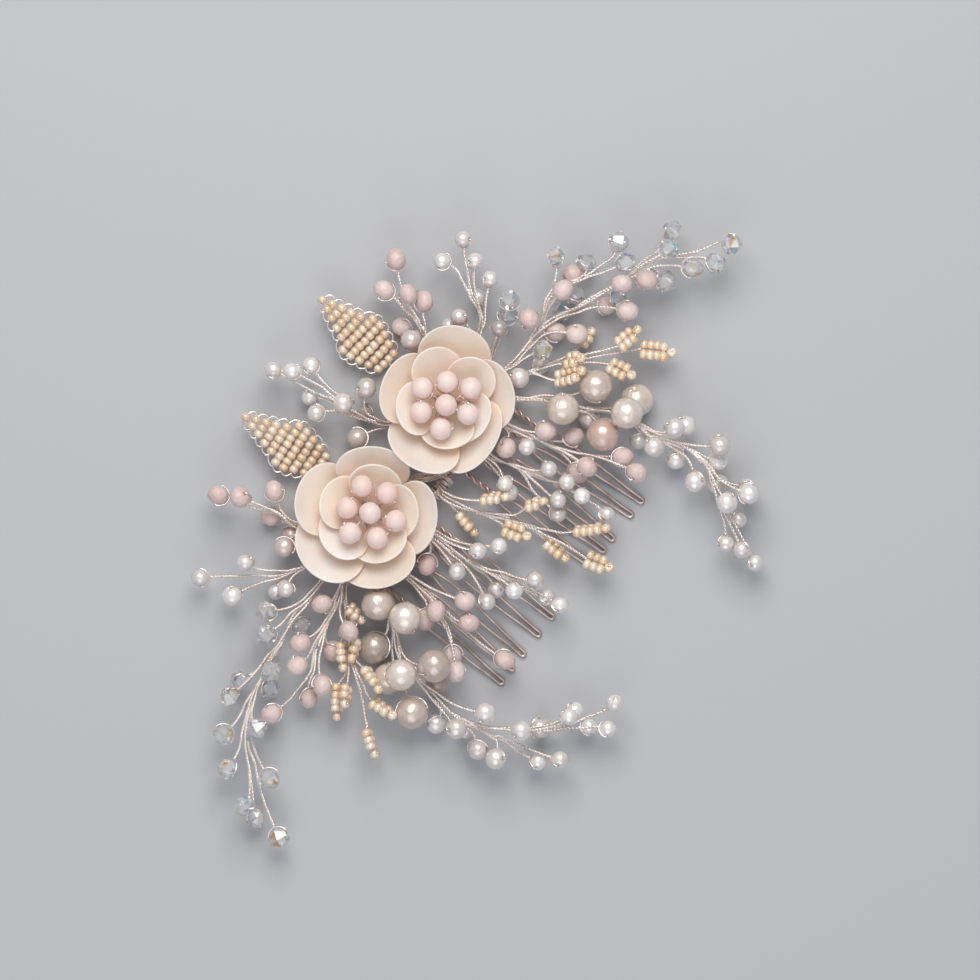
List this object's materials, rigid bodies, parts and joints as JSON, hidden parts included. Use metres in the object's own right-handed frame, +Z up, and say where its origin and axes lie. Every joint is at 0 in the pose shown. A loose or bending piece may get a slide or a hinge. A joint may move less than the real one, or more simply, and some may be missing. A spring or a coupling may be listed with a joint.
{
  "type": "decorative hair comb",
  "caption": "Bridal hair comb: hairpin wire teeth on a bound spine, petalled flowers, beaded leaves and bendable wire sprays of pearls, frosted beads and crystals.",
  "frame": {"origin": "under the middle of the ornament's box, on the surface that the flowers' backings rest on", "axes": "+X along the comb's spine, -Y the way the teeth point, +Z up, out of the flowers' faces"},
  "size_m": [0.1826, 0.1228, 0.019],
  "materials": {
    "comb_wire": "rose-plated wire, satin",
    "binding_wire": "bright rose-silver wire",
    "petal_clay": "pearlised polymer clay",
    "felt": "pressed felt",
    "pearl": "pearl coating on a bead",
    "ivory_pearl": "ivory pearl coating",
    "pink_bead": "frosted pale pink bead",
    "crystal": "faceted, iridescent coating",
    "gold_bead": "gold-lined seed beads"
  },
  "bodies": {
    "comb": {"binding_core": "binding_wire", "binding_wire": "binding_wire", "comb_1_spine": "comb_wire", "comb_1_tooth_1": "comb_wire", "comb_1_tooth_2": "comb_wire", "comb_1_tooth_3": "comb_wire", "comb_1_tooth_4": "comb_wire", "comb_1_tooth_5": "comb_wire", "comb_2_spine": "comb_wire", "comb_2_tooth_1": "comb_wire", "comb_2_tooth_2": "comb_wire", "comb_2_tooth_3": "comb_wire", "comb_2_tooth_4": "comb_wire", "comb_2_tooth_5": "comb_wire", "flower_1_backing": "felt", "flower_1_centre": "pink_bead", "flower_1_inner_petal_1": "petal_clay", "flower_1_inner_petal_2": "petal_clay", "flower_1_inner_petal_3": "petal_clay", "flower_1_inner_petal_4": "petal_clay", "flower_1_inner_petal_5": "petal_clay", "flower_1_outer_petal_1": "petal_clay", "flower_1_outer_petal_2": "petal_clay", "flower_1_outer_petal_3": "petal_clay", "flower_1_outer_petal_4": "petal_clay", "flower_1_outer_petal_5": "petal_clay", "flower_2_backing": "felt", "flower_2_centre": "pink_bead", "flower_2_inner_petal_1": "petal_clay", "flower_2_inner_petal_2": "petal_clay", "flower_2_inner_petal_3": "petal_clay", "flower_2_inner_petal_4": "petal_clay", "flower_2_inner_petal_5": "petal_clay", "flower_2_outer_petal_1": "petal_clay", "flower_2_outer_petal_2": "petal_clay", "flower_2_outer_petal_3": "petal_clay", "flower_2_outer_petal_4": "petal_clay", "flower_2_outer_petal_5": "petal_clay", "gold_sprig_bottom": "gold_bead", "gold_sprig_right": "gold_bead", "ivory_spray_bottom": "ivory_pearl", "ivory_spray_right": "ivory_pearl", "pearl_spray_right": "pearl", "pearl_sprig_top": "pearl", "pink_spray_bottom": "pink_bead", "pink_spray_left": "pink_bead", "pink_spray_right": "pink_bead"},
    "crystal_trail_right": {"crystal_trail_right": "crystal"},
    "crystal_sprig_top": {"crystal_sprig_top": "crystal"},
    "pearl_trail_right": {"pearl_trail_right": "pearl"},
    "gold_sprig_middle": {"gold_sprig_middle": "gold_bead"},
    "pearl_spray_middle": {"pearl_spray_middle": "pearl"},
    "pearl_trail_bottom": {"pearl_trail_bottom": "pearl"},
    "crystal_trail_left": {"crystal_trail_left": "crystal"},
    "pearl_spray_left": {"pearl_spray_left": "pearl"},
    "pink_sprig_left": {"pink_sprig_left": "pink_bead"},
    "pearl_spray_top": {"pearl_spray_top": "pearl"},
    "pink_sprig_top": {"pink_sprig_top": "pink_bead"},
    "leaf_1": {"leaf_1": "gold_bead"},
    "leaf_2": {"leaf_2": "gold_bead"}
  },
  "joints": [
    {"name": "crystal_trail_right_bend", "type": "hinge", "parent": "comb", "child": "crystal_trail_right", "pos_m": [0.02621, 0.01838, 0.004], "axis": [-0.2751, -0.9614, 0], "range_deg": [0, 25]},
    {"name": "crystal_sprig_top_bend", "type": "hinge", "parent": "comb", "child": "crystal_sprig_top", "pos_m": [0.02671, 0.02044, 0.0016], "axis": [0.1978, -0.9802, 0], "range_deg": [0, 12]},
    {"name": "pearl_trail_right_bend", "type": "hinge", "parent": "comb", "child": "pearl_trail_right", "pos_m": [0.04127, -0.01613, 0.00659], "axis": [-0.9997, 0.0244, 0], "range_deg": [0, 25]},
    {"name": "gold_sprig_middle_bend", "type": "hinge", "parent": "comb", "child": "gold_sprig_middle", "pos_m": [0, 0.0107, 0.00555], "axis": [-0.9635, -0.2677, 0], "range_deg": [0, 25]},
    {"name": "pearl_spray_middle_bend", "type": "hinge", "parent": "comb", "child": "pearl_spray_middle", "pos_m": [-0.00923, 0.0107, 0.00475], "axis": [-0.9989, -0.0461, 0], "range_deg": [0, 20]},
    {"name": "pearl_trail_bottom_bend", "type": "hinge", "parent": "comb", "child": "pearl_trail_bottom", "pos_m": [-0.03849, -0.01118, 0.00609], "axis": [-0.9806, -0.1958, 0], "range_deg": [0, 15]},
    {"name": "crystal_trail_left_bend", "type": "hinge", "parent": "comb", "child": "crystal_trail_left", "pos_m": [-0.02278, 0.02002, 0.004], "axis": [-0.1795, 0.9838, 0], "range_deg": [0, 20]},
    {"name": "pearl_spray_left_bend", "type": "hinge", "parent": "comb", "child": "pearl_spray_left", "pos_m": [-0.02254, 0.02229, 0.0016], "axis": [0.4233, 0.906, 0], "range_deg": [0, 20]},
    {"name": "pink_sprig_left_bend", "type": "hinge", "parent": "comb", "child": "pink_sprig_left", "pos_m": [-0.02071, 0.02581, 0.004], "axis": [0.8394, 0.5436, 0], "range_deg": [0, 12]},
    {"name": "pearl_spray_top_bend", "type": "hinge", "parent": "comb", "child": "pearl_spray_top", "pos_m": [0.0089, 0.02718, 0.0024], "axis": [0.9268, 0.3756, 0], "range_deg": [0, 12]},
    {"name": "pink_sprig_top_bend", "type": "hinge", "parent": "comb", "child": "pink_sprig_top", "pos_m": [0.0227, 0.02964, 0.004], "axis": [0.8926, -0.4508, 0], "range_deg": [0, 12]},
    {"name": "leaf_1_bend", "type": "hinge", "parent": "comb", "child": "leaf_1", "pos_m": [0.01641, 0.03145, 0.0034], "axis": [0.9963, -0.0861, 0], "range_deg": [0, 25]},
    {"name": "leaf_2_bend", "type": "hinge", "parent": "comb", "child": "leaf_2", "pos_m": [-0.01313, 0.02856, 0.0034], "axis": [0.9989, 0.0477, 0], "range_deg": [0, 20]}
  ]
}
